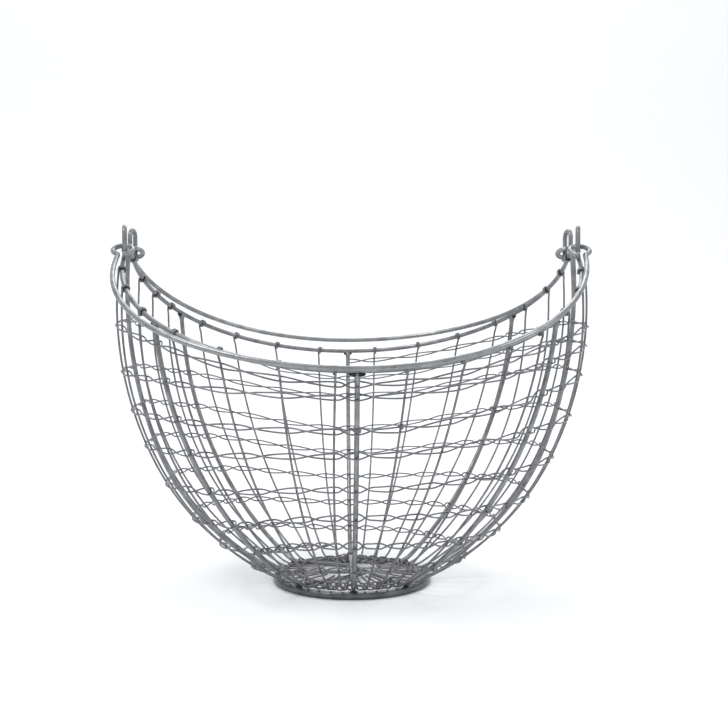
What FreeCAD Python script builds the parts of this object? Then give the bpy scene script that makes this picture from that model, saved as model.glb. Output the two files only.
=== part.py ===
# Egg collection basket: a round-bottomed open wire basket with a saddle-shaped rim and two bail handles.
# Millimetres, +Z up. Origin: centre of the foot ring, on the surface the basket stands on.
# +X is to the right, -Y is the front. The two handles hinge at the high ends of the rim, left and right.
import FreeCAD, Part
import math
import os

from FreeCAD import Placement, Rotation, Vector

doc = FreeCAD.newDocument("EggBasket")
sheet = doc.addObject("Spreadsheet::Sheet", "Dimensions")

DIMENSIONS = (
    # wire gauges, as radii
    ("foot_radius_wire", 2.45),
    ("rim_radius_wire", 1.5),
    ("rib_radius_wire", 1.5),
    ("warp_radius_wire", 0.6),
    ("weft_radius_wire", 0.4),
    ("eye_radius_wire", 1.5),
    ("handle_radius_wire", 1.6),
    # foot and floor
    ("foot_ring_radius", 49.0),
    ("foot_flat", 0.15),
    ("foot_bend_reach", 6.0),
    ("foot_bend_drop", 0.7),
    ("cross_bend_reach", 6.0),
    ("cross_lowest", 2.1),
    ("cross_step", 3.45),
    ("warp_inner_radius", 20.0),
    ("warp_inner_rise", 2.0),
    # rim: a hoop folded up along its front-to-back middle line
    ("rim_half_width", 144.0),
    ("rim_reach", 152.5),
    ("rim_straight", 17.0),
    ("rim_side_arc", 130.0),
    ("rim_tilt_deg", 29.0),
    ("rim_fold_height", 219.5),
    ("rim_fold_radius", 25.0),
    # side profile: slope where the wires leave the foot, and under the rim
    ("slope_low_front", 38.0),
    ("slope_low_end", 25.0),
    ("slope_top_front", 76.0),
    ("slope_top_end", 95.0),
    ("rib_weld_depth", 1.1),
    # hooks of the thin wires round the rim
    ("hook_gap", 0.3),
    ("hook_wrap_deg", 238.0),
    ("hook_bend_reach", 8.0),
    ("foot_even_share", 0.85),
    # twined wire
    ("twine_gap", 0.2),
    ("side_slack", 1.03),
    ("floor_slack", 1.37),
    ("twine_rise", 1.45),
    ("twine_bend_share", 0.05),
    ("twine_butt_gap", 0.2),
    ("floor_twine_outer", 43.0),
    ("floor_twine_inner", 36.0),
    # eyes and handle hinges
    ("eye_centre_y", 14.5),
    ("eye_spread", 9.2),
    ("eye_top", 229.85),
    ("eye_turn_deg", 11.5),
    ("eye_weld_depth", 0.6),
    ("ring_radius", 6.05),
    ("ring_near_y", 13.7),
    ("ring_near_height", 218.2),
    ("ring_centre_x", 144.3),
    ("ring_neck_radius", 2.5),
    ("ring_end_deg", 101.0),
    ("handle_half_width", 146.5),
    ("handle_reach", 145.0),
    ("handle_full_straight", 23.0),
    ("handle_full_arc", 112.0),
    ("handle_round_lean_deg", 5.0),
    ("front_rest_deg", 29.45),
    ("back_rest_deg", 26.4),
)
for row, (alias, number) in enumerate(DIMENSIONS, start=1):
    sheet.set(f"A{row}", alias)
    sheet.set(f"B{row}", str(number))
    sheet.setAlias(f"B{row}", alias)
doc.recompute()


def dim(alias):
    """A driving dimension, read from the sheet."""
    return float(getattr(sheet, alias))


# Bearings run clockwise seen from above, 0 at the back to 360. Each rib's end has one at the rim and
# one at the foot; between two ribs' ends stand the thin wires, given by their bearings at the rim.
RIB_ENDS = (
    (0.0, 0.0),
    (55.3, 50.0),
    (90.0, 90.0),
    (126.5, 138.0),
    (180.0, 180.0),
    (232.5, 223.0),
    (270.0, 270.0),
    (303.3, 307.0),
)
WARPS_BETWEEN = (
    (8.7, 23.0, 36.2, 48.8),
    (59.6, 69.4, 77.8, 84.3),
    (102.5, 111.7, 122.0),
    (133.0, 142.6, 155.0, 168.6),
    (184.9, 197.8, 212.4, 225.3),
    (237.5, 248.7, 257.6),
    (275.7, 284.6, 292.2, 299.0),
    (310.8, 322.5, 336.2, 350.4),
)
# Height of each turn of the twined wire at the back, the right end, the front and the left end.
TURNS = (
    (138, 170, 138, 171),
    (125, 158, 131, 141),
    (112, 140, 112, 117),
    (88, 114, 98, 94),
    (71, 87, 78, 69),
    (54, 61, 60, 46),
    (37, 39, 41, 29),
    (21, 20, 23, 14),
)
LAST_TURN_END = 11

FULL_TURN = 360.0
UP = Vector(0, 0, 1)


# ---------------------------------------------------------------- plane curves
def heading(degrees):
    """Unit vector at an angle from the first axis, as (first, second)."""
    a = math.radians(degrees)
    return math.cos(a), math.sin(a)


def turn_about(point, centre, angle):
    """Point turned about centre in the plane, angle in radians."""
    c, s = math.cos(angle), math.sin(angle)
    dx, dz = point[0] - centre[0], point[1] - centre[1]
    return centre[0] + dx * c - dz * s, centre[1] + dx * s + dz * c


def oval_quarter(half_width, reach, straight, side_arc):
    """Front arc's radius, its centre, and the angle of the joint between the side and front arcs."""
    k = straight - reach
    front_arc = (side_arc**2 - (half_width - side_arc) ** 2 - k**2) / (2 * (k + side_arc))
    joint = math.asin((half_width - side_arc) / (front_arc - side_arc))
    return front_arc, reach - front_arc, joint


def compass(bearing):
    """Level unit vector at a bearing from the back, clockwise seen from above."""
    a = math.radians(bearing)
    return Vector(math.sin(a), math.cos(a), 0)


# ---------------------------------------------------------------- rim
TILT = math.radians(dim("rim_tilt_deg"))
RIM_FRONT_ARC, RIM_FRONT_CENTRE, RIM_JOINT = oval_quarter(
    dim("rim_half_width"), dim("rim_reach"), dim("rim_straight"), dim("rim_side_arc")
)


def rim_plane_point(across, reach, side):
    """Point of the rim's front (-1) or back (1) half, from its place in that half's own plane."""
    return Vector(across, side * reach * math.cos(TILT), dim("rim_fold_height") - reach * math.sin(TILT))


def rim_height(y):
    """Height of the rim wire's centre at a distance in front of or behind the middle."""
    fold = dim("rim_fold_radius")
    if abs(y) > fold * math.sin(TILT):
        return dim("rim_fold_height") - abs(y) * math.tan(TILT)
    return dim("rim_fold_height") - fold / math.cos(TILT) + math.sqrt(fold**2 - y**2)


def rim_point(bearing):
    """Centre of the rim wire in the upright plane at a bearing from the back, clockwise from above."""
    a = math.radians(bearing)
    side = 1 if math.cos(a) >= 0 else -1
    du, dw = math.sin(a), abs(math.cos(a)) / math.cos(TILT)

    def reach_circle(centre_u, centre_w, radius):
        b = abs(du) * centre_u + dw * centre_w
        q = du * du + dw * dw
        return (b + math.sqrt(b * b - q * (centre_u**2 + centre_w**2 - radius**2))) / q

    half, arc = dim("rim_half_width"), dim("rim_side_arc")
    length = half / max(abs(du), 1e-9)
    if length * dw > dim("rim_straight"):
        length = reach_circle(half - arc, dim("rim_straight"), arc)
        if abs(du) * length < half - arc + arc * math.sin(RIM_JOINT):
            length = reach_circle(0.0, RIM_FRONT_CENTRE, RIM_FRONT_ARC)
    point = rim_plane_point(du * length, dw * length, side)
    point.z = rim_height(point.y)
    return point


# ---------------------------------------------------------------- arcs in space
def arc_middle(start, way, end):
    """Middle of the arc that leaves start along way and reaches end."""
    chord = end - start
    sideways = (way - chord * (way.dot(chord) / chord.dot(chord))).normalize()
    return (start + end) / 2 + sideways * (chord.Length / 2 * math.tan(way.getAngle(chord) / 2))


def two_arcs(start, start_way, end, end_way):
    """Two tangent arcs from start to end, leaving and arriving along the given ways, and their joint's way."""
    gap = end - start
    along = gap.dot(start_way + end_way)
    spread = 2 * (1 - start_way.dot(end_way))
    reach = (-along + math.sqrt(along**2 + spread * gap.dot(gap))) / spread
    joint = (start + end + (start_way - end_way) * reach) / 2
    joint_way = (gap - (start_way + end_way) * reach).normalize()
    first = (start, arc_middle(start, start_way, joint), joint)
    second = (joint, arc_middle(joint, joint_way, end), end)
    return [first, second], joint_way


# ---------------------------------------------------------------- upright wires
class Upright:
    """Line of one upright wire: radial over the floor, then two arcs in space from foot ring to rim."""

    def __init__(self, bearing, foot_bearing, radius):
        self.bearing = bearing
        self.radius = radius
        self.top = rim_point(bearing)
        self.out = compass(foot_bearing)
        low = 2 * dim("foot_radius_wire") + radius - dim("foot_bend_drop")
        self.foot = self.out * dim("foot_ring_radius") + UP * low
        end = abs(math.sin(math.radians(bearing))) ** 2
        c, s = heading(dim("slope_low_front") + (dim("slope_low_end") - dim("slope_low_front")) * end)
        self.foot_way = self.out * c + UP * s
        c, s = heading(dim("slope_top_front") + (dim("slope_top_end") - dim("slope_top_front")) * end)
        self.top_out = compass(bearing)
        drift = math.radians(bearing - foot_bearing)
        lean = drift * math.hypot(self.top.x, self.top.y) / self.top.z
        clockwise = Vector(self.top_out.y, -self.top_out.x, 0)
        self.top_way = (self.top_out * c + UP * s + clockwise * lean).normalize()

    def set_floor(self, inner):
        """Sets the inner end of the straight run over the floor."""
        self.inner = inner
        self.floor_way = (self.foot - inner).normalize()

    def set_side(self, end):
        """Sets where the side line ends, beside or below the rim."""
        self.side, self.joint_way = two_arcs(self.foot, self.foot_way, end, self.top_way)

    def circle(self, number):
        """Centre, radius, starting way and way towards the centre of one arc of the side line."""
        start, end = self.side[number][0], self.side[number][2]
        way = (self.foot_way, self.joint_way)[number]
        chord = end - start
        inward = (chord - way * chord.dot(way)).normalize()
        radius = chord.Length / (2 * math.sin(way.getAngle(chord)))
        return start + inward * radius, radius, way, inward

    def on_side(self, number, angle):
        """Point and way at an angle along one arc of the side line."""
        centre, radius, way, inward = self.circle(number)
        c, s = math.cos(angle), math.sin(angle)
        return centre + (way * s - inward * c) * radius, way * c + inward * s

    def at_height(self, z):
        """Point of the side line at a height, the outward normal and the way up the wire there."""
        number = 0 if z < self.side[0][2].z else 1
        centre, radius, way, inward = self.circle(number)
        rise = (z - centre.z) / (radius * math.hypot(way.z, inward.z))
        point, way_up = self.on_side(number, math.atan2(way.z, -inward.z) - math.acos(rise))
        outward = Vector(point.x, point.y, 0).normalize()
        return point, (outward - way_up * outward.dot(way_up)).normalize(), way_up

    def at_floor(self, radius):
        """Point of the floor run at a distance from the middle, the way down and the way outward."""
        c, s = self.floor_way.dot(self.out), self.floor_way.z
        point = self.foot - self.floor_way * ((dim("foot_ring_radius") - radius) / c)
        return point, self.out * s - UP * c, self.floor_way

    def pieces(self, start):
        """Pieces of the wire, from a point of its floor run to the top of the side line."""
        reach = dim("foot_bend_reach")
        enter = self.foot - self.floor_way * reach
        leave, leave_way = self.on_side(0, reach / self.circle(0)[1])
        bend, _ = two_arcs(enter, self.floor_way, leave, leave_way)
        joint = self.side[0][2]
        return [(start, enter)] + bend + [(leave, arc_middle(leave, leave_way, joint), joint), self.side[1]]


def foot_bearings(warp_bearings, low, high):
    """Bearings at the foot of the thin wires between two rib ends: part evenly spread, part as at the rim."""
    count = len(warp_bearings) + 1
    share = dim("foot_even_share")
    for i, bearing in enumerate(warp_bearings, start=1):
        as_at_rim = (bearing - low[0]) / (high[0] - low[0])
        yield low[1] + (high[1] - low[1]) * (i / count * share + as_at_rim * (1 - share))


RIB_NAMES = ("rib_front_back", "rib_front_left_back_right", "rib_left_right", "rib_front_right_back_left")
RIB_LEVELS = (3, 0, 1, 2)
HOOK_REACH = dim("rim_radius_wire") + dim("warp_radius_wire") + dim("hook_gap")

ribs = {}
for name, one_end, other_end, level in zip(RIB_NAMES, RIB_ENDS[:4], RIB_ENDS[4:], RIB_LEVELS):
    ribs[name] = [Upright(rim, foot, dim("rib_radius_wire")) for rim, foot in (one_end, other_end)]
    for upright in ribs[name]:
        upright.set_floor(UP * (dim("cross_lowest") + dim("cross_step") * level))
        upright.set_side(upright.top - upright.top_way * dim("rib_weld_depth"))
warps = []
for between, low, high in zip(WARPS_BETWEEN, RIB_ENDS, RIB_ENDS[1:] + ((FULL_TURN, FULL_TURN),)):
    for bearing, foot_bearing in zip(between, foot_bearings(between, low, high)):
        upright = Upright(bearing, foot_bearing, dim("warp_radius_wire"))
        inner_height = upright.foot.z + dim("warp_inner_rise")
        upright.set_floor(upright.out * dim("warp_inner_radius") + UP * inner_height)
        rim_way = (rim_point(bearing + 0.5) - rim_point(bearing - 0.5)).normalize()
        upright.hook_out = (upright.top_out - rim_way * rim_way.dot(upright.top_out)).normalize()
        upright.hook_up = rim_way.cross(upright.hook_out)
        upright.hook_start = upright.top + upright.hook_out * HOOK_REACH
        upright.set_side(upright.hook_start - upright.top_way * dim("hook_bend_reach"))
        warps.append(upright)
uprights = sorted([u for pair in ribs.values() for u in pair] + warps, key=lambda u: u.bearing)


# ---------------------------------------------------------------- wires as chains of edges
def piece_edge(points):
    """Edge of a straight run (two points) or an arc (start, middle, end)."""
    if len(points) == 2:
        return Part.LineSegment(points[0], points[1]).toShape()
    return Part.Arc(points[0], points[1], points[2]).toShape()


def space_edges(pieces):
    """Edges of pieces given by points in space."""
    return [piece_edge(piece) for piece in pieces]


def chain_edges(pieces, place):
    """Edges of plane pieces, put into space by place."""
    return space_edges([[place(point) for point in piece] for piece in pieces])


def backwards(pieces):
    """The same chain of pieces, run the other way."""
    return [tuple(reversed(piece)) for piece in reversed(pieces)]


def rounded_pieces(points, trims):
    """Straight runs through points, each inner corner rounded by an arc that trims the runs by its trim."""
    pieces = []
    last = points[0]
    for before, corner, after, trim in zip(points, points[1:], points[2:], trims[1:]):
        arriving = (corner - before).normalize()
        leaving = (after - corner).normalize()
        half = arriving.getAngle(leaving) / 2
        start, end = corner - arriving * trim, corner + leaving * trim
        inward = (leaving - arriving).normalize()
        pieces += [(last, start), (start, corner + inward * trim * math.tan(half / 2), end)]
        last = end
    pieces.append((last, points[-1]))
    return pieces


SEAM_TURN = 90


def sweep_wire(label, edges, radius_alias, keep=True):
    """Round wire along a chain of tangent edges, its radius bound to the sheet."""
    path = doc.addObject("Part::Feature", f"path_{label}")
    path.Shape = Part.Wire(edges)
    section = doc.addObject("Part::Circle", f"section_{label}")
    section.setExpression("Radius", f"Dimensions.{radius_alias}")
    start = edges[0].valueAt(edges[0].FirstParameter)
    tangent = edges[0].tangentAt(edges[0].FirstParameter)
    section.Placement = Placement(start, Rotation(UP, tangent) * Rotation(UP, SEAM_TURN))
    wire = doc.addObject("Part::Sweep", label)
    wire.Sections = [section]
    wire.Spine = (path, [])
    wire.Solid = True
    wire.Frenet = False
    wire.Label = label
    if keep:
        nodes.append(wire)
    return wire


nodes = []

# ---------------------------------------------------------------- foot ring
ring = doc.addObject("Part::Torus", "foot_ring_wire")
ring.setExpression("Radius1", "Dimensions.foot_ring_radius")
ring.setExpression("Radius2", "Dimensions.foot_radius_wire")
ring.setExpression("Placement.Base.z", "Dimensions.foot_radius_wire")
floor_cut = doc.addObject("Part::Cylinder", "foot_flat_cut")
floor_cut.setExpression("Radius", "Dimensions.foot_ring_radius + 2 * Dimensions.foot_radius_wire")
floor_cut.setExpression("Height", "Dimensions.foot_flat")
foot = doc.addObject("Part::Cut", "foot_ring")
foot.Base = ring
foot.Tool = floor_cut
foot.Label = "foot_ring"
foot.setExpression("Placement.Base.z", "-Dimensions.foot_flat")
nodes.append(foot)


# ---------------------------------------------------------------- rim
def oval_pieces(half_width, reach, straight, side_arc, start):
    """Half oval in its own plane, from the right end at start, round the far side, to the left end."""
    front_arc, front_centre, joint = oval_quarter(half_width, reach, straight, side_arc)
    side_centre = (half_width - side_arc, straight)
    turn = math.pi / 2 - joint
    corner = (half_width, straight)
    meet = turn_about(corner, side_centre, turn)
    quarter = [((half_width, start), corner), (corner, turn_about(corner, side_centre, turn / 2), meet)]
    over = (meet, (0.0, reach), (-meet[0], meet[1]))
    mirrored = [tuple((-p[0], p[1]) for p in reversed(piece)) for piece in reversed(quarter)]
    return quarter + [over] + mirrored


fold = dim("rim_fold_radius")
fold_start = fold * math.tan(TILT)
half_oval = oval_pieces(
    dim("rim_half_width"), dim("rim_reach"), dim("rim_straight"), dim("rim_side_arc"), fold_start
)
rim_edges = chain_edges(half_oval, lambda p: rim_plane_point(p[0], p[1], -1))
for across, side in ((-dim("rim_half_width"), -1), (dim("rim_half_width"), 1)):
    bend = (
        rim_plane_point(across, fold_start, side),
        Vector(across, 0, rim_height(0.0)),
        rim_plane_point(across, fold_start, -side),
    )
    rim_edges.append(piece_edge(bend))
    if side == -1:
        rim_edges += chain_edges(backwards(half_oval), lambda p: rim_plane_point(p[0], p[1], 1))
sweep_wire("rim_wire", rim_edges, "rim_radius_wire")

# ---------------------------------------------------------------- ribs: four wires that cross in the floor
for name, (one, other) in ribs.items():
    reach = dim("cross_bend_reach")
    crossing = one.inner
    half = (-one.floor_way).getAngle(other.floor_way) / 2
    inward = (other.floor_way + one.floor_way).normalize()
    left, right = crossing + one.floor_way * reach, crossing + other.floor_way * reach
    bend = (left, crossing + inward * reach * math.tan(half / 2), right)
    chain = backwards(one.pieces(left)) + [bend] + other.pieces(right)
    sweep_wire(name, space_edges(chain), "rib_radius_wire")

# ---------------------------------------------------------------- thin uprights, hooked over the rim
wrap = dim("hook_wrap_deg")
for number, warp in enumerate(warps, start=1):
    bend, _ = two_arcs(warp.side[1][2], warp.top_way, warp.hook_start, warp.hook_up)
    hook = []
    for degrees in (0, wrap / 2, wrap):
        c, s = heading(degrees)
        hook.append(warp.top + (warp.hook_out * c + warp.hook_up * s) * HOOK_REACH)
    sweep_wire(f"warp_{number:02d}", space_edges(warp.pieces(warp.inner) + bend + [hook]), "warp_radius_wire")


# ---------------------------------------------------------------- twined wire
def twine_heights():
    """Height of the twine at each upright, turn after turn, clockwise from the back rib."""
    quarter = FULL_TURN / 4
    stations = [height for turn in TURNS for height in turn] + [LAST_TURN_END]
    heights = []
    for turn in range(len(TURNS)):
        for upright in uprights:
            step = upright.bearing / quarter
            low = int(step)
            before, after = stations[4 * turn + low : 4 * turn + low + 2]
            heights.append(before + (after - before) * (1 - math.cos(math.pi * (step - low))) / 2)
    return heights


def squared(crossings, closed):
    """The crossings with each outward normal turned square to the way the twine runs there."""
    count = len(crossings)
    turned = []
    for i, ((point, normal, way_up), radius) in enumerate(crossings):
        before = crossings[i - 1 if closed else max(i - 1, 0)][0][0]
        after = crossings[(i + 1) % count if closed else min(i + 1, count - 1)][0][0]
        square = way_up.cross(after - before).normalize()
        if square.dot(normal) < 0:
            square = -square
        turned.append(((point, square, way_up), radius))
    return turned


def strand_pieces(crossings, outside_first, closed, slack):
    """Runs and arcs of one strand: outside one upright, inside the next, crossing its twin between them."""
    count = len(crossings)
    gap = dim("weft_radius_wire") + dim("twine_gap")
    points, trims = [], []
    for i, ((point, normal, way_up), radius) in enumerate(crossings):
        side = 1 if (i % 2 == 0) == outside_first else -1
        reach = radius * slack + gap
        rise = way_up * side * dim("twine_rise")
        if closed or i > 0:
            last, last_radius = crossings[i - 1]
            back = last[0] - point
            half_run = back.Length / 2
            fall = reach + last_radius * slack + gap
            slope = math.atan2(fall, half_run)
            slope = math.atan2(fall, half_run - reach * math.tan(slope / 2))
            trim = reach * math.tan(slope / 2)
            points.append(point + normal * side * reach - rise + back.normalize() * trim)
            trims.append(trim)
        else:
            points.append(point + normal * side * reach - rise)
            trims.append(0)
        if closed or i < count - 1:
            after = crossings[(i + 1) % count][0]
            points.append((point + after[0]) / 2 + (normal + after[1]).normalize() * side * reach)
            trims.append(dim("twine_bend_share") * (after[0] - point).Length)
    if closed:
        middle = (points[-1] + points[0]) / 2
        points, trims = [middle] + points + [middle], [0] + trims + [0]
    return rounded_pieces(points, trims)


def clipped(pieces):
    """The chain with both of its end runs cut back by half the butt gap."""
    gap = dim("twine_butt_gap") / 2
    start, end = pieces[0], pieces[-1]
    start_way = (start[1] - start[0]).normalize()
    end_way = (end[1] - end[0]).normalize()
    return [(start[0] + start_way * gap, start[1])] + pieces[1:-1] + [(end[0], end[1] - end_way * gap)]


def twine_pair(label, chains):
    """One node of the two strands of a twine."""
    pair = doc.addObject("Part::Compound", label)
    pair.Links = [
        sweep_wire(f"{label}_{letter}", space_edges(chain), "weft_radius_wire", False)
        for letter, chain in zip("ab", chains)
    ]
    pair.Label = label
    nodes.append(pair)


crossings = []
for i, height in enumerate(twine_heights()):
    upright = uprights[i % len(uprights)]
    crossings.append((upright.at_height(height), upright.radius))
crossings = squared(crossings, False)
strands = [strand_pieces(crossings, outside, False, dim("side_slack")) for outside in (True, False)]
per_turn = 4 * len(uprights)
for turn in range(len(TURNS)):
    chains = []
    for pieces in strands:
        first, last = per_turn * turn - 2, per_turn * (turn + 1) - 2
        chain = list(pieces[max(first, 0) : last + 1])
        if turn > 0:
            chain[0] = ((chain[0][0] + chain[0][1]) / 2, chain[0][1])
        if turn < len(TURNS) - 1:
            chain[-1] = (chain[-1][0], (chain[-1][0] + chain[-1][1]) / 2)
        chains.append(clipped(chain))
    for letter, chain in zip("ab", chains):
        label = f"weft_course_{turn + 1}_{letter}"
        sweep_wire(label, space_edges(chain), "weft_radius_wire")
for place in ("outer", "inner"):
    label, radius = f"floor_weft_{place}", dim(f"floor_twine_{place}")
    crossings = squared([(upright.at_floor(radius), upright.radius) for upright in uprights], True)
    closed = [strand_pieces(crossings, outside, True, dim("floor_slack")) for outside in (True, False)]
    twine_pair(label, [clipped(strand) for strand in closed])

# ---------------------------------------------------------------- eyes on the high ends of the rim
SIDES = (("left", -1), ("right", 1))
ENDS = (("front", -1), ("back", 1))
half_spread = dim("eye_spread") / 2
turn_c, turn_s = heading(dim("eye_turn_deg"))
for side_name, side in SIDES:
    for end_name, end in ENDS:
        along = Vector(-side * turn_s, end * turn_c, 0)
        middle = Vector(side * dim("rim_half_width"), end * dim("eye_centre_y"), 0)
        arch_height = dim("eye_top") - half_spread
        feet = []
        for way in (-1, 1):
            foot = middle + along * half_spread * way
            foot.z = rim_height(foot.y) + dim("rim_radius_wire") - dim("eye_weld_depth")
            feet.append(foot)
        shoulders = [Vector(foot.x, foot.y, arch_height) for foot in feet]
        crown = middle + UP * dim("eye_top")
        pieces = [(feet[0], shoulders[0]), (shoulders[0], crown, shoulders[1]), (shoulders[1], feet[1])]
        label = f"eye_{end_name}_{side_name}"
        sweep_wire(label, space_edges(pieces), "eye_radius_wire")

# ---------------------------------------------------------------- handles
def loop_pieces(lean):
    """The ring at the right end and the neck to the stem, from the ring's end. The stem leans inward."""
    radius, neck = dim("ring_radius"), dim("ring_neck_radius")
    centre = (dim("ring_centre_x"), radius)
    beside = dim("handle_half_width") + neck - centre[0]
    neck_rise = math.sqrt((radius + neck) ** 2 - beside**2)
    neck_angle = math.atan2(neck_rise, beside)
    end_angle = math.radians(dim("ring_end_deg"))
    sweep = 2 * math.pi + neck_angle - end_angle
    end = (centre[0] + radius * math.cos(end_angle), centre[1] + radius * math.sin(end_angle))
    middle = turn_about(end, centre, sweep / 2)
    join = turn_about(end, centre, sweep)
    neck_centre = (dim("handle_half_width") + neck, radius + neck_rise)
    neck_turn = lean - neck_angle
    stem = turn_about(join, neck_centre, neck_turn)
    return [
        (end, turn_about(end, centre, sweep / 4), middle),
        (middle, turn_about(end, centre, sweep * 3 / 4), join),
        (join, turn_about(join, neck_centre, neck_turn / 2), stem),
    ]


def full_side():
    """Full-bellied right side of a bail's outline, from the ring's end to the middle of the bail."""
    half_width, reach = dim("handle_half_width"), dim("handle_reach")
    straight, side_arc = dim("handle_full_straight"), dim("handle_full_arc")
    loop = loop_pieces(0.0)
    start, belly, over = oval_pieces(half_width, reach, straight, side_arc, loop[-1][2][1])[:3]
    front_centre, joint = oval_quarter(half_width, reach, straight, side_arc)[1:]
    return loop + [start, belly, (over[0], turn_about(over[1], (0.0, front_centre), -joint / 2), over[1])]


def round_side():
    """Rounder right side of a bail's outline, leaning inward from its ring."""
    lean = math.radians(dim("handle_round_lean_deg"))
    loop = loop_pieces(lean)
    way = Vector(-math.sin(lean), math.cos(lean), 0)
    pieces, _ = two_arcs(Vector(*loop[-1][2], 0), way, Vector(0, dim("handle_reach"), 0), Vector(-1, 0, 0))
    return loop + [tuple((p.x, p.y) for p in piece) for piece in pieces]


SIDE_SHAPES = {"front": (round_side(), full_side()), "back": (full_side(), round_side())}
for end_name, end in ENDS:
    right, left = SIDE_SHAPES[end_name]
    mirrored = [tuple((-p[0], p[1]) for p in reversed(piece)) for piece in reversed(left)]
    rest = math.radians(dim(f"{end_name}_rest_deg"))
    away = Vector(0, end * math.cos(rest), -math.sin(rest))
    near = Vector(0, end * dim("ring_near_y"), dim("ring_near_height"))
    edges = chain_edges(right + mirrored, lambda p: near + away * p[1] + Vector(p[0], 0, 0))
    sweep_wire(f"{end_name}_handle", edges, "handle_radius_wire")

# ---------------------------------------------------------------- check and write
doc.recompute()
for item in doc.Objects:
    if {"Invalid", "Error"} & set(item.State):
        raise RuntimeError(f"{item.Label} did not build: {item.State}")
os.makedirs("parts", exist_ok=True)
for node in nodes:
    if node.Shape.isNull() or not node.Shape.isValid():
        raise RuntimeError(f"{node.Label} has no sound shape")
    node.Shape.exportStep(f"parts/{node.Label}.step")
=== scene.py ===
import math

import bpy
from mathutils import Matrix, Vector, noise


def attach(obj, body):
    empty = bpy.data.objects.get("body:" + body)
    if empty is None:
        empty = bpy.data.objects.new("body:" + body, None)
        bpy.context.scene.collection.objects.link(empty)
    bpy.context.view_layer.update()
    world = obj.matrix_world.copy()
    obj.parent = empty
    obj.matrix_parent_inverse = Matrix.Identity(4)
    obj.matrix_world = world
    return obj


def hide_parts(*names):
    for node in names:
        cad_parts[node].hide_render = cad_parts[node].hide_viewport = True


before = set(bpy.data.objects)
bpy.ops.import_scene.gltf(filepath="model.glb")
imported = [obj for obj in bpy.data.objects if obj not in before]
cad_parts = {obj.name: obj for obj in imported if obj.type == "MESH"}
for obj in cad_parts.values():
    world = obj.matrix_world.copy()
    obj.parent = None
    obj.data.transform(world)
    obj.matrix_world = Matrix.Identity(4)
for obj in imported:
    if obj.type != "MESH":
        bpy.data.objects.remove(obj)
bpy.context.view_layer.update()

MM = 0.001
UP = Vector((0, 0, 1))

# ------------------------------------------------------------------ dimensions, millimetres
# The wire sizes are radii. The thin uprights and the twine are drawn a little fuller than in the CAD.
FOOT_RING, FOOT_WIRE, FOOT_FLAT = 49.0, 2.45, 0.15
RIM_WIRE, RIB_WIRE, WARP_WIRE, TWINE_WIRE, EYE_WIRE, HANDLE_WIRE = 1.5, 1.5, 0.66, 0.5, 1.5, 1.6
RIM_HALF, RIM_REACH, RIM_STRAIGHT, RIM_SIDE_ARC = 144.0, 152.5, 17.0, 130.0
RIM_TILT = math.radians(29.0)
FOLD_HEIGHT, FOLD_RADIUS = 219.5, 25.0
EYE_Y, EYE_SPREAD, EYE_TOP, EYE_TURN = 14.5, 9.2, 229.85, math.radians(11.5)
LOOP_RADIUS, LOOP_X, NEAR_Y, NEAR_Z, NECK = 6.05, 144.3, 13.7, 218.2, 2.5
HANDLE_HALF, HANDLE_REACH, FULL_STRAIGHT, FULL_ARC = 146.5, 145.0, 23.0, 112.0
ROUND_LEAN = math.radians(5.0)
REST_TILT = {"front": math.radians(29.45), "back": math.radians(26.4)}
# Bearings run clockwise from the back. Rib ends: at the rim and at the foot. Thin wires: at the rim.
RIB_ENDS = (
    (0.0, 0.0),
    (55.3, 50.0),
    (90.0, 90.0),
    (126.5, 138.0),
    (180.0, 180.0),
    (232.5, 223.0),
    (270.0, 270.0),
    (303.3, 307.0),
)
WARPS_BETWEEN = (
    (8.7, 23.0, 36.2, 48.8),
    (59.6, 69.4, 77.8, 84.3),
    (102.5, 111.7, 122.0),
    (133.0, 142.6, 155.0, 168.6),
    (184.9, 197.8, 212.4, 225.3),
    (237.5, 248.7, 257.6),
    (275.7, 284.6, 292.2, 299.0),
    (310.8, 322.5, 336.2, 350.4),
)
EVEN_SHARE = 0.85
# Height of the twine at bearings 0, 90, 180 and 270 of each turn, from the top.
TURNS = (
    (138, 170, 138, 171),
    (125, 158, 131, 141),
    (112, 140, 112, 117),
    (88, 114, 98, 94),
    (71, 87, 78, 69),
    (54, 61, 60, 46),
    (37, 39, 41, 29),
    (21, 20, 23, 14),
)
LAST_TURN_END = 11
FLOOR_TWINES = {"floor_weft_outer": 43.0, "floor_weft_inner": 36.0}
SIDE_RISE, FLOOR_RISE = 1.05, 0.9
INNER_RADIUS, INNER_RISE = 20.0, 2.0
CROSS_LOWEST, CROSS_STEP, CROSS_BEND, FOOT_BEND = 2.1, 3.45, 6.0, 6.0
RIB_SINK = 1.1
HOOK_BEND, HOOK_GAP, HOOK_PITCH, HOOK_SETTLE, HOOK_FLARE = 8.0, 0.02, 1.24, 0.6, 0.25
HOOK_WRAP = math.radians(575)
EYE_SINK, EYE_STEP = 0.6, 1.2
# Weld beads: half length and half width.
FOOT_BEAD = (2.7, 1.25)
RIM_BEAD = (3.0, 1.3)
FRONT_RIM_BEAD = (4.6, 1.3)
NECK_BEAD = (2.8, 1.62)
CROSS_BEAD = (1.9, 1.3)
# Short wound splices, one on the front rib and one on a front upright.
SPLICE_PITCH, SPLICE_STEPS, SPLICE_GAP = 0.84, 20, 0.03
SPLICE_HEIGHTS = (112.0, 114.0)
SPLICE_TURNS = (2.2, 2.4)
SPLICED_WARP = 14


# ------------------------------------------------------------------ plane curves
def heading(degrees):
    a = math.radians(degrees)
    return math.cos(a), math.sin(a)


def turn_about(point, centre, angle):
    c, s = math.cos(angle), math.sin(angle)
    dx, dz = point[0] - centre[0], point[1] - centre[1]
    return centre[0] + dx * c - dz * s, centre[1] + dx * s + dz * c


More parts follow.
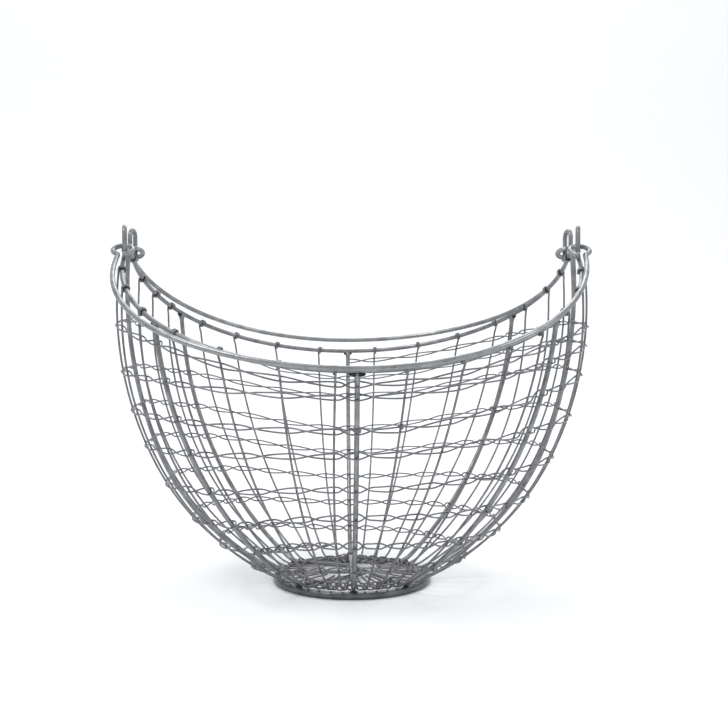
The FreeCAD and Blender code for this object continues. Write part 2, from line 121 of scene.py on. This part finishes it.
def swing(start, centre, sweep, step=0.06):
    """Points round centre from start, start left out."""
    n = max(2, math.ceil(abs(sweep) / step))
    return [turn_about(start, centre, sweep * i / n) for i in range(1, n + 1)]


def compass(bearing):
    a = math.radians(bearing)
    return Vector((math.sin(a), math.cos(a), 0))


def arc_points(start, way, end, step=0.05):
    """Points of the arc that leaves start along way and reaches end, start left out."""
    chord = end - start
    inward = (chord - way * chord.dot(way)).normalized()
    angle = way.angle(chord)
    radius = chord.length / (2 * math.sin(angle))
    n = max(3, math.ceil(2 * angle / step))
    points = []
    for i in range(1, n + 1):
        t = 2 * angle * i / n
        points.append(start + way * (radius * math.sin(t)) + inward * (radius * (1 - math.cos(t))))
    return points


def two_arcs(start, start_way, end, end_way):
    """Joint of the two tangent arcs from start to end, and the way there."""
    gap = end - start
    along = gap.dot(start_way + end_way)
    spread = 2 * (1 - start_way.dot(end_way))
    reach = (-along + math.sqrt(along**2 + spread * gap.dot(gap))) / spread
    joint = (start + end + (start_way - end_way) * reach) / 2
    return joint, (gap - (start_way + end_way) * reach).normalized()


def two_arc_points(start, start_way, end, end_way, step=0.05):
    joint, way = two_arcs(start, start_way, end, end_way)
    return arc_points(start, start_way, joint, step) + arc_points(joint, way, end, step)


def oval_quarter(half_width, reach, straight, side_arc):
    k = straight - reach
    front_arc = (side_arc**2 - (half_width - side_arc) ** 2 - k**2) / (2 * (k + side_arc))
    joint = math.asin((half_width - side_arc) / (front_arc - side_arc))
    return front_arc, reach - front_arc, joint


def half_oval(half_width, reach, straight, side_arc, start):
    """Right end at start, round the far side, to the left end."""
    front_arc, front_centre, joint = oval_quarter(half_width, reach, straight, side_arc)
    corner = (half_width, straight)
    side_centre = (half_width - side_arc, straight)
    quarter = [(half_width, start), corner] + swing(corner, side_centre, math.pi / 2 - joint, 0.03)
    over = swing(quarter[-1], (0.0, front_centre), 2 * joint, 0.02)
    return quarter + over[:-1] + [(-x, w) for x, w in reversed(quarter)]


# ------------------------------------------------------------------ rim and uprights
FRONT_ARC, FRONT_CENTRE, RIM_JOINT = oval_quarter(RIM_HALF, RIM_REACH, RIM_STRAIGHT, RIM_SIDE_ARC)


def rim_height(y):
    if abs(y) > FOLD_RADIUS * math.sin(RIM_TILT):
        return FOLD_HEIGHT - abs(y) * math.tan(RIM_TILT)
    return FOLD_HEIGHT - FOLD_RADIUS / math.cos(RIM_TILT) + math.sqrt(FOLD_RADIUS**2 - y**2)


def rim_point(bearing):
    a = math.radians(bearing)
    du, dw = math.sin(a), abs(math.cos(a)) / math.cos(RIM_TILT)

    def reach_circle(cu, cw, radius):
        b = abs(du) * cu + dw * cw
        q = du * du + dw * dw
        return (b + math.sqrt(b * b - q * (cu**2 + cw**2 - radius**2))) / q

    length = RIM_HALF / max(abs(du), 1e-9)
    if length * dw > RIM_STRAIGHT:
        length = reach_circle(RIM_HALF - RIM_SIDE_ARC, RIM_STRAIGHT, RIM_SIDE_ARC)
        if abs(du) * length < RIM_HALF - RIM_SIDE_ARC + RIM_SIDE_ARC * math.sin(RIM_JOINT):
            length = reach_circle(0.0, FRONT_CENTRE, FRONT_ARC)
    y = math.copysign(dw * length * math.cos(RIM_TILT), math.cos(a))
    return Vector((du * length, y, rim_height(y)))


class Upright:
    """Line of one upright wire: radial over the floor, then two arcs from the foot ring to the rim."""

    def __init__(self, bearing, foot_bearing, radius):
        self.bearing, self.radius = bearing, radius
        self.top = rim_point(bearing)
        self.out = compass(foot_bearing)
        self.foot = self.out * FOOT_RING + UP * (2 * FOOT_WIRE + radius - 0.7)
        end = math.sin(math.radians(bearing)) ** 2
        c, s = heading(38 - 13 * end)
        self.foot_way = self.out * c + UP * s
        c, s = heading(76 + 19 * end)
        self.top_out = compass(bearing)
        lean = math.radians(bearing - foot_bearing) * math.hypot(self.top.x, self.top.y) / self.top.z
        clockwise = Vector((self.top_out.y, -self.top_out.x, 0))
        self.top_way = (self.top_out * c + UP * s + clockwise * lean).normalized()
        ahead = rim_point(bearing + 0.5) - rim_point(bearing - 0.5)
        self.rim_way = ahead.normalized()
        self.hook_out = (self.top_out - self.rim_way * self.rim_way.dot(self.top_out)).normalized()
        self.hook_up = self.rim_way.cross(self.hook_out)

    def set_ends(self, inner, end):
        self.inner, self.end = inner, end
        self.floor_way = (self.foot - inner).normalized()
        self.joint, self.joint_way = two_arcs(self.foot, self.foot_way, end, self.top_way)

    def circle(self, upper):
        """Centre, radius, starting way and way to the centre of the lower or upper arc."""
        start, way, end = self.foot, self.foot_way, self.joint
        if upper:
            start, way, end = self.joint, self.joint_way, self.end
        chord = end - start
        inward = (chord - way * chord.dot(way)).normalized()
        radius = chord.length / (2 * math.sin(way.angle(chord)))
        return start + inward * radius, radius, way, inward

    def at_height(self, z):
        """Point at a height, the outward normal and the way up the wire there."""
        centre, radius, way, inward = self.circle(z >= self.joint.z)
        rise = (z - centre.z) / (radius * math.hypot(way.z, inward.z))
        angle = math.atan2(way.z, -inward.z) - math.acos(rise)
        c, s = math.cos(angle), math.sin(angle)
        point = centre + (way * s - inward * c) * radius
        way_up = way * c + inward * s
        outward = Vector((point.x, point.y, 0)).normalized()
        return point, (outward - way_up * outward.dot(way_up)).normalized(), way_up

    def at_floor(self, radius):
        c, s = self.floor_way.dot(self.out), self.floor_way.z
        point = self.foot - self.floor_way * ((FOOT_RING - radius) / c)
        return point, self.out * s - UP * c, self.floor_way

    def path(self, start):
        """Points from a point of the floor run to the top of the side line."""
        reach = FOOT_BEND
        enter = self.foot - self.floor_way * reach
        _, radius, way, inward = self.circle(False)
        c, s = math.cos(reach / radius), math.sin(reach / radius)
        leave = self.foot + way * (radius * s) + inward * (radius * (1 - c))
        leave_way = way * c + inward * s
        points = [start, enter] + two_arc_points(enter, self.floor_way, leave, leave_way, 0.08)
        points += arc_points(leave, leave_way, self.joint, 0.02)
        return points + arc_points(self.joint, self.joint_way, self.end, 0.02)


def make_uprights():
    ribs, warps = {}, []
    names = ("rib_front_back", "rib_front_left_back_right", "rib_left_right", "rib_front_right_back_left")
    for name, one, other, level in zip(names, RIB_ENDS[:4], RIB_ENDS[4:], (3, 0, 1, 2)):
        ribs[name] = [Upright(rim, foot, RIB_WIRE) for rim, foot in (one, other)]
        for rib in ribs[name]:
            rib.set_ends(UP * (CROSS_LOWEST + CROSS_STEP * level), rib.top - rib.top_way * RIB_SINK)
    for between, low, high in zip(WARPS_BETWEEN, RIB_ENDS, RIB_ENDS[1:] + ((360.0, 360.0),)):
        for i, bearing in enumerate(between, start=1):
            as_at_rim = (bearing - low[0]) / (high[0] - low[0])
            share = i / (len(between) + 1) * EVEN_SHARE + as_at_rim * (1 - EVEN_SHARE)
            warp = Upright(bearing, low[1] + (high[1] - low[1]) * share, WARP_WIRE)
            warp.hook_start = warp.top + warp.hook_out * (RIM_WIRE + WARP_WIRE + HOOK_GAP)
            inner = warp.out * INNER_RADIUS + UP * (warp.foot.z + INNER_RISE)
            warp.set_ends(inner, warp.hook_start - warp.top_way * HOOK_BEND)
            warps.append(warp)
    return ribs, warps


# ------------------------------------------------------------------ meshes
def smooth_path(points, step):
    """Points evenly spaced along a Catmull-Rom line."""
    out = []
    ext = [points[0] * 2 - points[1]] + points + [points[-1] * 2 - points[-2]]
    for p0, p1, p2, p3 in zip(ext, ext[1:], ext[2:], ext[3:]):
        n = max(1, math.ceil((p2 - p1).length / step))
        for i in range(n):
            t = i / n
            out.append(
                0.5 * (2 * p1 + (p2 - p0) * t + (2 * p0 - 5 * p1 + 4 * p2 - p3) * t * t
                       + (3 * p1 - p0 - 3 * p2 + p3) * t**3)
            )
    out.append(points[-1])
    return out


def tube(name, points, radius, sides=14, closed=False, welds=(), grow=0.0, reach=1.6, wobble=0.012):
    """Round wire along points. Each weld is a distance along it where it swells."""
    n = len(points)
    dist = [0.0]
    for a, b in zip(points, points[1:]):
        dist.append(dist[-1] + (b - a).length)
    total = dist[-1]
    tangents = []
    for i in range(n):
        before = points[i - 1] if i or closed else points[0]
        after = points[(i + 1) % n] if i < n - 1 or closed else points[-1]
        tangents.append((after - before).normalized())
    normal = tangents[0].orthogonal().normalized()
    frames = []
    for t in tangents:
        normal = (normal - t * normal.dot(t)).normalized()
        frames.append((normal.copy(), t.cross(normal)))
    twist = 0.0
    if closed:
        t = tangents[0]
        last = (frames[-1][0] - t * frames[-1][0].dot(t)).normalized()
        twist = math.atan2(last.dot(frames[0][1]), last.dot(frames[0][0]))
    verts, wires = [], []

    def add_ring(i, shrink, shift):
        a, b = frames[i]
        swell = max([math.exp(-(((dist[i] - w) / reach) ** 2)) for w in welds] or [0.0])
        for k in range(sides):
            angle = 2 * math.pi * k / sides - twist * dist[i] / max(total, 1e-6)
            c, s = math.cos(angle), math.sin(angle)
            way = a * c + b * s
            centre = points[i] + tangents[i] * shift
            lump = noise.noise(centre * 0.9 + way * 1.3) * 0.45 * swell
            r = radius * shrink * (1 + wobble * noise.noise(centre * 0.35 + way))
            r += grow * swell * (1 + lump)
            verts.append((centre + way * r) * MM)
            wires.append((c * radius, s * radius, dist[i]))

    if not closed:
        add_ring(0, 0.82, 0.0)
        add_ring(0, 1.0, 0.18 * radius)
    for i in range(0 if closed else 1, n if closed else n - 1):
        add_ring(i, 1.0, 0.0)
    if not closed:
        add_ring(n - 1, 1.0, -0.18 * radius)
        add_ring(n - 1, 0.82, 0.0)
    rings = len(verts) // sides
    faces = []
    for i in range(rings if closed else rings - 1):
        j = (i + 1) % rings
        for k in range(sides):
            m = (k + 1) % sides
            faces.append((i * sides + k, i * sides + m, j * sides + m, j * sides + k))
    if not closed:
        faces.append(tuple(reversed(range(sides))))
        faces.append(tuple(range((rings - 1) * sides, rings * sides)))
    return build(name, verts, faces, wires)


def build(name, verts, faces, wires):
    mesh = bpy.data.meshes.new(name)
    mesh.from_pydata([tuple(v) for v in verts], [], faces)
    mesh.update()
    mesh.polygons.foreach_set("use_smooth", [len(f) == 4 or len(f) == 3 for f in faces])
    wire = mesh.attributes.new("wire", "FLOAT_VECTOR", "POINT")
    wire.data.foreach_set("vector", [x for w in wires for x in w])
    obj = bpy.data.objects.new(name, mesh)
    bpy.context.scene.collection.objects.link(obj)
    return obj


def bead(name, places, body, material, nodes=()):
    """Weld beads: one lumpy squashed ball at each (centre, axis, half length, half width)."""
    verts, faces, wires = [], [], []
    rows, cols = 9, 14
    for centre, axis, long_half, wide_half in places:
        a = axis.normalized()
        b = a.orthogonal().normalized()
        c = a.cross(b)
        base = len(verts)
        for i in range(rows + 1):
            phi = math.pi * i / rows
            for k in range(cols):
                th = 2 * math.pi * k / cols
                across = b * math.cos(th) + c * math.sin(th)
                d = a * math.cos(phi) * long_half + across * math.sin(phi) * wide_half
                lump = 1 + 0.2 * noise.noise((centre + d) * 1.1)
                p = centre + d * lump
                verts.append(p * MM)
                wires.append((p.x, p.y, p.z))
        for i in range(rows):
            for k in range(cols):
                m = (k + 1) % cols
                low, high = base + i * cols, base + (i + 1) * cols
                faces.append((low + k, high + k, high + m, low + m))
    obj = build(name, verts, faces, wires)
    return dress(obj, body, material, nodes)


def dress(obj, body, material, nodes=()):
    obj.data.materials.append(material)
    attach(obj, body)
    if nodes:
        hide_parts(*nodes)
    return obj


# ------------------------------------------------------------------ materials
def link(tree, a, b):
    tree.links.new(a, b)


def steel(name, dark, light, rough, grain):
    """Galvanised wire: mottled zinc with faint lengthwise drawing marks."""
    mat = bpy.data.materials.new(name)
    mat.use_nodes = True
    tree = mat.node_tree
    nodes = tree.nodes
    bsdf = nodes["Principled BSDF"]
    bsdf.inputs["Metallic"].default_value = 0.85
    coords = nodes.new("ShaderNodeTexCoord")
    wire = nodes.new("ShaderNodeAttribute")
    wire.attribute_name = "wire"
    stretch = nodes.new("ShaderNodeVectorMath")
    stretch.operation = "MULTIPLY"
    stretch.inputs[1].default_value = (1.0, 1.0, 0.06)
    link(tree, wire.outputs["Vector"], stretch.inputs[0])

    def noise_node(vector, scale, detail, roughness=0.55):
        node = nodes.new("ShaderNodeTexNoise")
        node.inputs["Scale"].default_value = scale
        node.inputs["Detail"].default_value = detail
        node.inputs["Roughness"].default_value = roughness
        link(tree, vector, node.inputs["Vector"])
        return node

    mottle = noise_node(coords.outputs["Object"], 140.0, 4.0)
    fine = noise_node(coords.outputs["Object"], 1500.0, 3.0)
    marks = noise_node(stretch.outputs["Vector"], 2.2, 4.0, 0.65)
    ramp = nodes.new("ShaderNodeValToRGB")
    ramp.color_ramp.elements[0].position = 0.33
    ramp.color_ramp.elements[0].color = (*dark, 1)
    ramp.color_ramp.elements[1].position = 0.68
    ramp.color_ramp.elements[1].color = (*light, 1)
    blend = nodes.new("ShaderNodeMix")
    blend.data_type = "FLOAT"
    blend.inputs["Factor"].default_value = 0.45
    link(tree, mottle.outputs["Fac"], blend.inputs["A"])
    link(tree, marks.outputs["Fac"], blend.inputs["B"])
    link(tree, blend.outputs["Result"], ramp.inputs["Fac"])
    link(tree, ramp.outputs["Color"], bsdf.inputs["Base Color"])
    spread = nodes.new("ShaderNodeMapRange")
    spread.inputs["From Min"].default_value = 0.3
    spread.inputs["From Max"].default_value = 0.7
    spread.inputs["To Min"].default_value = rough - 0.08
    spread.inputs["To Max"].default_value = rough + 0.1
    link(tree, marks.outputs["Fac"], spread.inputs["Value"])
    link(tree, spread.outputs["Result"], bsdf.inputs["Roughness"])
    both = nodes.new("ShaderNodeMath")
    both.operation = "ADD"
    link(tree, marks.outputs["Fac"], both.inputs[0])
    link(tree, fine.outputs["Fac"], both.inputs[1])
    bump = nodes.new("ShaderNodeBump")
    bump.inputs["Strength"].default_value = grain
    bump.inputs["Distance"].default_value = 0.00006
    link(tree, both.outputs["Value"], bump.inputs["Height"])
    link(tree, bump.outputs["Normal"], bsdf.inputs["Normal"])
    return mat


FRAME_STEEL = steel("frame_wire_steel", (0.13, 0.133, 0.137), (0.36, 0.366, 0.375), 0.3, 0.35)
MESH_STEEL = steel("mesh_wire_steel", (0.115, 0.114, 0.121), (0.30, 0.298, 0.311), 0.34, 0.35)
HANDLE_STEEL = steel("handle_wire_steel", (0.17, 0.174, 0.177), (0.42, 0.428, 0.434), 0.28, 0.35)

WELD_STEEL = steel("weld_steel", (0.012, 0.012, 0.013), (0.06, 0.06, 0.063), 0.5, 0.8)
# Darker copy of the frame steel for the foot ring: painted shade for the low ring that sits in shadow on
# the floor.
FOOT_SHADED_STEEL = steel("foot_ring_painted_shade_steel", (0.08, 0.082, 0.084), (0.19, 0.194, 0.198), 0.3, 0.3)

# ------------------------------------------------------------------ camera
camera_data = bpy.data.cameras.new("camera")
camera_data.sensor_width = 36.0
camera_data.lens = 1090 / 728 * 36
camera_data.shift_x = 12.3 / 728
camera_data.clip_end = 100
camera = bpy.data.objects.new("camera", camera_data)
bpy.context.scene.collection.objects.link(camera)
camera.location = Vector((-16.0, -709.8, 178.3)) * MM
camera.rotation_euler = (math.radians(90 - 2.9), 0, math.radians(-1.29))
bpy.context.scene.camera = camera

# ------------------------------------------------------------------ frame wires
foot_points = []
for i in range(220):
    a = 2 * math.pi * i / 220
    foot_points.append(Vector((FOOT_RING * math.cos(a), FOOT_RING * math.sin(a), FOOT_WIRE - FOOT_FLAT)))
foot_ring = tube("foot_ring_wire", foot_points, FOOT_WIRE, 24, True, wobble=0.006)
for vertex in foot_ring.data.vertices:
    vertex.co.z = max(vertex.co.z, 0.0)
dress(foot_ring, "basket", FOOT_SHADED_STEEL, ["foot_ring"])

fold_start = FOLD_RADIUS * math.tan(RIM_TILT)
oval = half_oval(RIM_HALF, RIM_REACH, RIM_STRAIGHT, RIM_SIDE_ARC, fold_start)


def rim_space(point, side):
    across, w = point
    return Vector((across, side * w * math.cos(RIM_TILT), FOLD_HEIGHT - w * math.sin(RIM_TILT)))


def crown(across, sign):
    """Points of the bent top at one end, from the -sign side to the sign side."""
    limit = FOLD_RADIUS * math.sin(RIM_TILT)
    ys = [sign * limit * (i / 6 - 1) for i in range(1, 12)]
    return [Vector((across, y, rim_height(y))) for y in ys]


rim_points = [rim_space(p, -1) for p in oval] + crown(-RIM_HALF, 1)
rim_points += [rim_space(p, 1) for p in reversed(oval)] + crown(RIM_HALF, -1)
rim_points = smooth_path(rim_points + rim_points[:1], 1.6)[:-1]
dress(tube("rim_hoop", rim_points, RIM_WIRE, 20, True), "basket", FRAME_STEEL, ["rim_wire"])

ribs, warps = make_uprights()
uprights = sorted([u for pair in ribs.values() for u in pair] + warps, key=lambda u: u.bearing)

for name, (one, other) in ribs.items():
    crossing = one.inner
    left, right = crossing + one.floor_way * CROSS_BEND, crossing + other.floor_way * CROSS_BEND
    middle = (left + right + crossing * 2) / 4
    points = list(reversed(one.path(left))) + [middle] + other.path(right)
    length = sum((b - a).length for a, b in zip(points, points[1:]))
    points = smooth_path(points, 3.0)
    rib = tube(name, points, RIB_WIRE, 16, False, welds=(1.2, length - 1.2), grow=0.75, reach=1.5)
    dress(rib, "basket", FRAME_STEEL, [name])

# weld beads where the ribs meet the rim, the foot ring and each other
beads = []
for pair in ribs.values():
    for rib in pair:
        way = Vector((rib.out.y, -rib.out.x, 0))
        rim_bead = FRONT_RIM_BEAD if rib.bearing == 180.0 else RIM_BEAD
        beads.append((rib.out * (FOOT_RING + 0.4) + UP * (2 * FOOT_WIRE - 0.3), way, *FOOT_BEAD))
        beads.append((rib.top - rib.hook_up * 2.0, rib.rim_way, *rim_bead))
        beads.append((rib.end - rib.top_way * 2.2, rib.top_way, *NECK_BEAD))
for level in range(3):
    beads.append((UP * (CROSS_LOWEST + CROSS_STEP * (level + 0.5)), Vector((1, 0.4, 0)), *CROSS_BEAD))
bead("rib_weld_beads", beads, "basket", WELD_STEEL)

# ------------------------------------------------------------------ thin uprights
for number, warp in enumerate(warps, start=1):
    points = warp.path(warp.inner)
    points += two_arc_points(points[-1], warp.top_way, warp.hook_start, warp.hook_up, 0.08)
    steps = 44
    for i in range(1, steps + 1):
        phi = HOOK_WRAP * i / steps
        r = RIM_WIRE + WARP_WIRE + HOOK_GAP + HOOK_FLARE * max(0.0, (i - steps + 4) / 4)
        shift = HOOK_PITCH / (2 * math.pi) * (phi - HOOK_SETTLE * (1 - math.exp(-phi / HOOK_SETTLE)))
        round_rim = warp.hook_out * math.cos(phi) + warp.hook_up * math.sin(phi)
        points.append(warp.top + round_rim * r + warp.rim_way * shift)
    wire = tube(f"warp_{number:02d}_wire", smooth_path(points, 3.0), WARP_WIRE, 10)
    dress(wire, "basket", MESH_STEEL, [f"warp_{number:02d}"])


# ------------------------------------------------------------------ twined wire
def twine_heights():
    stations = [height for turn in TURNS for height in turn] + [LAST_TURN_END]
    heights = []
    for turn in range(len(TURNS)):
        for upright in uprights:
            step = upright.bearing / 90
            low = int(step)
            before, after = stations[4 * turn + low : 4 * turn + low + 2]
            heights.append(before + (after - before) * (1 - math.cos(math.pi * (step - low))) / 2)
    return heights


def ease(t):
    t = min(max(t, 0.0), 1.0)
    return t * t * (3 - 2 * t)


def twine_line(crossings, outside_first, closed, rise):
    """One strand: outside one upright and inside the next, crossing its twin between them."""
    count = len(crossings)
    points = []
    runs = count if closed else count - 1
    for i in range(runs):
        (p1, n1, w1), r1 = crossings[i]
        (p2, n2, w2), r2 = crossings[(i + 1) % count]
        p0 = crossings[(i - 1) % count][0][0] if closed or i else p1 * 2 - p2
        p3 = crossings[(i + 2) % count][0][0] if closed or i < count - 2 else p2 * 2 - p1
        run = (p2 - p1).length
        side = 1 if (i % 2 == 0) == outside_first else -1
        c1, c2 = r1 + TWINE_WIRE + 0.02, r2 + TWINE_WIRE + 0.02
        start, end = 0.46, 1 - min(0.2, 0.75 * c2 / run)
        lift = rise * min(1.0, 0.35 + run / 16)
        n = max(10, math.ceil(run / 0.9))
        for k in range(n):
            u = k / n
            base = 0.5 * (2 * p1 + (p2 - p0) * u + (2 * p0 - 5 * p1 + 4 * p2 - p3) * u * u
                          + (3 * p1 - p0 - 3 * p2 + p3) * u**3)
            normal = (n1 * (1 - u) + n2 * u).normalized()
            way = (w1 * (1 - u) + w2 * u).normalized()
            depth = (c1 + (c2 - c1) * ease((u - 0.2) / 0.5)) * (1 - 2 * ease((u - start) / (end - start)))
            height = -lift * math.cos(math.pi * u)
            points.append(base + normal * side * depth + way * side * height)
    if not closed:
        (p, n, w), r = crossings[-1]
        side = 1 if ((count - 1) % 2 == 0) == outside_first else -1
        points.append(p + n * side * (r + TWINE_WIRE) - w * side * rise)
    return points


def squared(crossings, closed):
    """The crossings with each normal turned square to the way the twine runs."""
    count = len(crossings)
    turned = []
    for i, ((point, normal, way_up), radius) in enumerate(crossings):
        before = crossings[i - 1 if closed else max(i - 1, 0)][0][0]
        after = crossings[(i + 1) % count if closed else min(i + 1, count - 1)][0][0]
        square = way_up.cross(after - before).normalized()
        turned.append(((point, square if square.dot(normal) > 0 else -square, way_up), radius))
    return turned


heights = twine_heights()
crossings = []
for i, height in enumerate(heights):
    upright = uprights[i % len(uprights)]
    crossings.append((upright.at_height(height), upright.radius))
crossings = squared(crossings, False)
for letter, outside_first in (("a", True), ("b", False)):
    courses = [f"weft_course_{i}_{letter}" for i in range(1, len(TURNS) + 1)]
    line = twine_line(crossings, outside_first, False, SIDE_RISE)
    strand = tube(f"twine_strand_{letter}", line, TWINE_WIRE, 8)
    dress(strand, "basket", MESH_STEEL, courses)
for label, radius in FLOOR_TWINES.items():
    floor_crossings = squared([(upright.at_floor(radius), upright.radius) for upright in uprights], True)
    for letter, outside_first in (("a", True), ("b", False)):
        line = twine_line(floor_crossings, outside_first, True, FLOOR_RISE)
        strand = tube(f"{label}_strand_{letter}", line, TWINE_WIRE, 8, True)
        dress(strand, "basket", MESH_STEEL, [label])

# short ends of wire wound round two uprights where the twine was pieced together
spliced = (ribs["rib_front_back"][1], warps[SPLICED_WARP])
for number, (upright, height, turns) in enumerate(zip(spliced, SPLICE_HEIGHTS, SPLICE_TURNS), start=1):
    point, normal, way_up = upright.at_height(height)
    side = way_up.cross(normal)
    r = upright.radius + TWINE_WIRE + SPLICE_GAP
    points = []
    for i in range(int(turns * SPLICE_STEPS) + 1):
        phi = 2 * math.pi * i / SPLICE_STEPS
        round_wire = normal * math.cos(phi) + side * math.sin(phi)
        points.append(point + round_wire * r + way_up * (SPLICE_PITCH * i / SPLICE_STEPS))
    dress(tube(f"splice_{number}", points, TWINE_WIRE, 8), "basket", MESH_STEEL)

# ------------------------------------------------------------------ eyes
for side_name, side in (("left", -1), ("right", 1)):
    for end_name, end in (("front", -1), ("back", 1)):
        along = Vector((-side * math.sin(EYE_TURN), end * math.cos(EYE_TURN), 0))
        middle = Vector((side * RIM_HALF, end * EYE_Y, 0))
        half = EYE_SPREAD / 2
        feet = []
        for way in (-1, 1):
            foot = middle + along * half * way
            foot.z = rim_height(foot.y) + RIM_WIRE - EYE_SINK
            feet.append(foot)
        points = [feet[0] + UP * EYE_STEP * i for i in range(10)]
        points = [p for p in points if p.z < EYE_TOP - half - 0.5]
        for i in range(25):
            a = math.pi * i / 24
            points.append(middle - along * half * math.cos(a) + UP * (EYE_TOP - half + half * math.sin(a)))
        down = EYE_TOP - half
        while down - EYE_STEP > feet[1].z:
            down -= EYE_STEP
            points.append(Vector((feet[1].x, feet[1].y, down)))
        points.append(feet[1])
        length = sum((b - a).length for a, b in zip(points, points[1:]))
        name = f"eye_{end_name}_{side_name}"
        feet_at = (0.3, length - 0.3)
        eye = tube(f"{name}_staple", points, EYE_WIRE, 16, False, welds=feet_at, grow=0.7, reach=1.3)
        dress(eye, "basket", FRAME_STEEL, [name])

# ------------------------------------------------------------------ handles
def ring_and_neck(lean):
    """Right end ring from its tip, and the neck to the stem, which leans inward by lean."""
    beside = HANDLE_HALF + NECK - LOOP_X
    neck_rise = math.sqrt((LOOP_RADIUS + NECK) ** 2 - beside**2)
    neck_angle = math.atan2(neck_rise, beside)
    tip = math.radians(101)
    start = (LOOP_X + LOOP_RADIUS * math.cos(tip), LOOP_RADIUS + LOOP_RADIUS * math.sin(tip))
    loop = [start] + swing(start, (LOOP_X, LOOP_RADIUS), 2 * math.pi + neck_angle - tip, 0.12)
    return loop + swing(loop[-1], (HANDLE_HALF + NECK, LOOP_RADIUS + neck_rise), lean - neck_angle, 0.12)


def full_side():
    loop = ring_and_neck(0.0)
    half = half_oval(HANDLE_HALF, HANDLE_REACH, FULL_STRAIGHT, FULL_ARC, loop[-1][1] + 1.0)
    return loop + [p for p in half if p[0] > 0.5] + [(0.0, HANDLE_REACH)]


def round_side():
    loop = ring_and_neck(ROUND_LEAN)
    way = Vector((-math.sin(ROUND_LEAN), math.cos(ROUND_LEAN), 0))
    start, end = Vector((*loop[-1], 0)), Vector((0, HANDLE_REACH, 0))
    return loop + [(p.x, p.y) for p in two_arc_points(start, way, end, Vector((-1, 0, 0)), 0.03)]


side_shapes = {"front": (round_side(), full_side()), "back": (full_side(), round_side())}
for end_name, end in (("front", -1), ("back", 1)):
    right_side, left_side = side_shapes[end_name]
    outline = right_side + [(-x, s) for x, s in reversed(left_side[:-1])]
    rest = REST_TILT[end_name]
    away = Vector((0, end * math.cos(rest), -math.sin(rest)))
    near = Vector((0, end * NEAR_Y, NEAR_Z))
    points = [near + away * s + Vector((x, 0, 0)) for x, s in outline]
    clean = [points[0]]
    for p in points[1:]:
        if (p - clean[-1]).length > 0.3:
            clean.append(p)
    name = f"{end_name}_handle"
    handle = tube(f"{name}_bail", smooth_path(clean, 1.6), HANDLE_WIRE, 20)
    dress(handle, name, HANDLE_STEEL, [name])

# ------------------------------------------------------------------ studio
def paint(name, colour, rough, scale, amount):
    mat = bpy.data.materials.new(name)
    mat.use_nodes = True
    tree = mat.node_tree
    bsdf = tree.nodes["Principled BSDF"]
    bsdf.inputs["Roughness"].default_value = rough
    grain = tree.nodes.new("ShaderNodeTexNoise")
    grain.inputs["Scale"].default_value = scale
    ramp = tree.nodes.new("ShaderNodeValToRGB")
    ramp.color_ramp.elements[0].color = (*[c * (1 - amount) for c in colour], 1)
    ramp.color_ramp.elements[1].color = (*colour, 1)
    tree.links.new(grain.outputs["Fac"], ramp.inputs["Fac"])
    tree.links.new(ramp.outputs["Color"], bsdf.inputs["Base Color"])
    return mat


profile = [(-16.0, 0.0), (-1.0, 0.0), (0.0, 0.0), (1.0, 0.0)]
bend = [math.pi / 2 * i / 16 for i in range(17)]
profile += [(1.6 + 0.9 * math.sin(a), 0.9 - 0.9 * math.cos(a)) for a in bend]
profile += [(2.5, 1.6), (2.5, 3.0), (2.5, 6.0)]
sweep_verts = [(x, y, z) for y, z in profile for x in (-16.0, 16.0)]
sweep_faces = [(2 * i, 2 * i + 1, 2 * i + 3, 2 * i + 2) for i in range(len(profile) - 1)]
sweep_mesh = bpy.data.meshes.new("studio_sweep")
sweep_mesh.from_pydata(sweep_verts, [], sweep_faces)
sweep_mesh.polygons.foreach_set("use_smooth", [True] * len(sweep_faces))
studio = bpy.data.objects.new("studio_sweep", sweep_mesh)
bpy.context.scene.collection.objects.link(studio)
studio.data.materials.append(paint("studio_paper", (0.93, 0.935, 0.94), 0.75, 30.0, 0.01))


def softbox(name, place, target, size, power):
    data = bpy.data.lights.new(name, "AREA")
    data.shape = "RECTANGLE"
    data.size, data.size_y = size
    data.energy = power
    light = bpy.data.objects.new(name, data)
    light.location = place
    light.rotation_euler = (Vector(target) - Vector(place)).to_track_quat("-Z", "Y").to_euler()
    bpy.context.scene.collection.objects.link(light)


softbox("key_light", (-0.9, -0.7, 1.6), (0, 0, 0.1), (0.6, 0.6), 9)
softbox("fill_light", (1.3, -0.5, 1.0), (0, 0, 0.1), (0.5, 0.5), 3)
softbox("back_light", (0.2, 1.3, 1.7), (0, 0, 0.1), (1.2, 0.5), 7)
softbox("backdrop_light", (0, 0.9, 2.6), (0, 2.5, 0.9), (3.0, 1.0), 18)
world = bpy.data.worlds.new("studio_world")
world.use_nodes = True
world.node_tree.nodes["Background"].inputs["Color"].default_value = (0.96, 0.98, 1.0, 1)
world.node_tree.nodes["Background"].inputs["Strength"].default_value = 0.8
bpy.context.scene.world = world
bpy.context.scene.view_settings.view_transform = "Standard"

# ------------------------------------------------------------------ final update
bpy.context.view_layer.update()
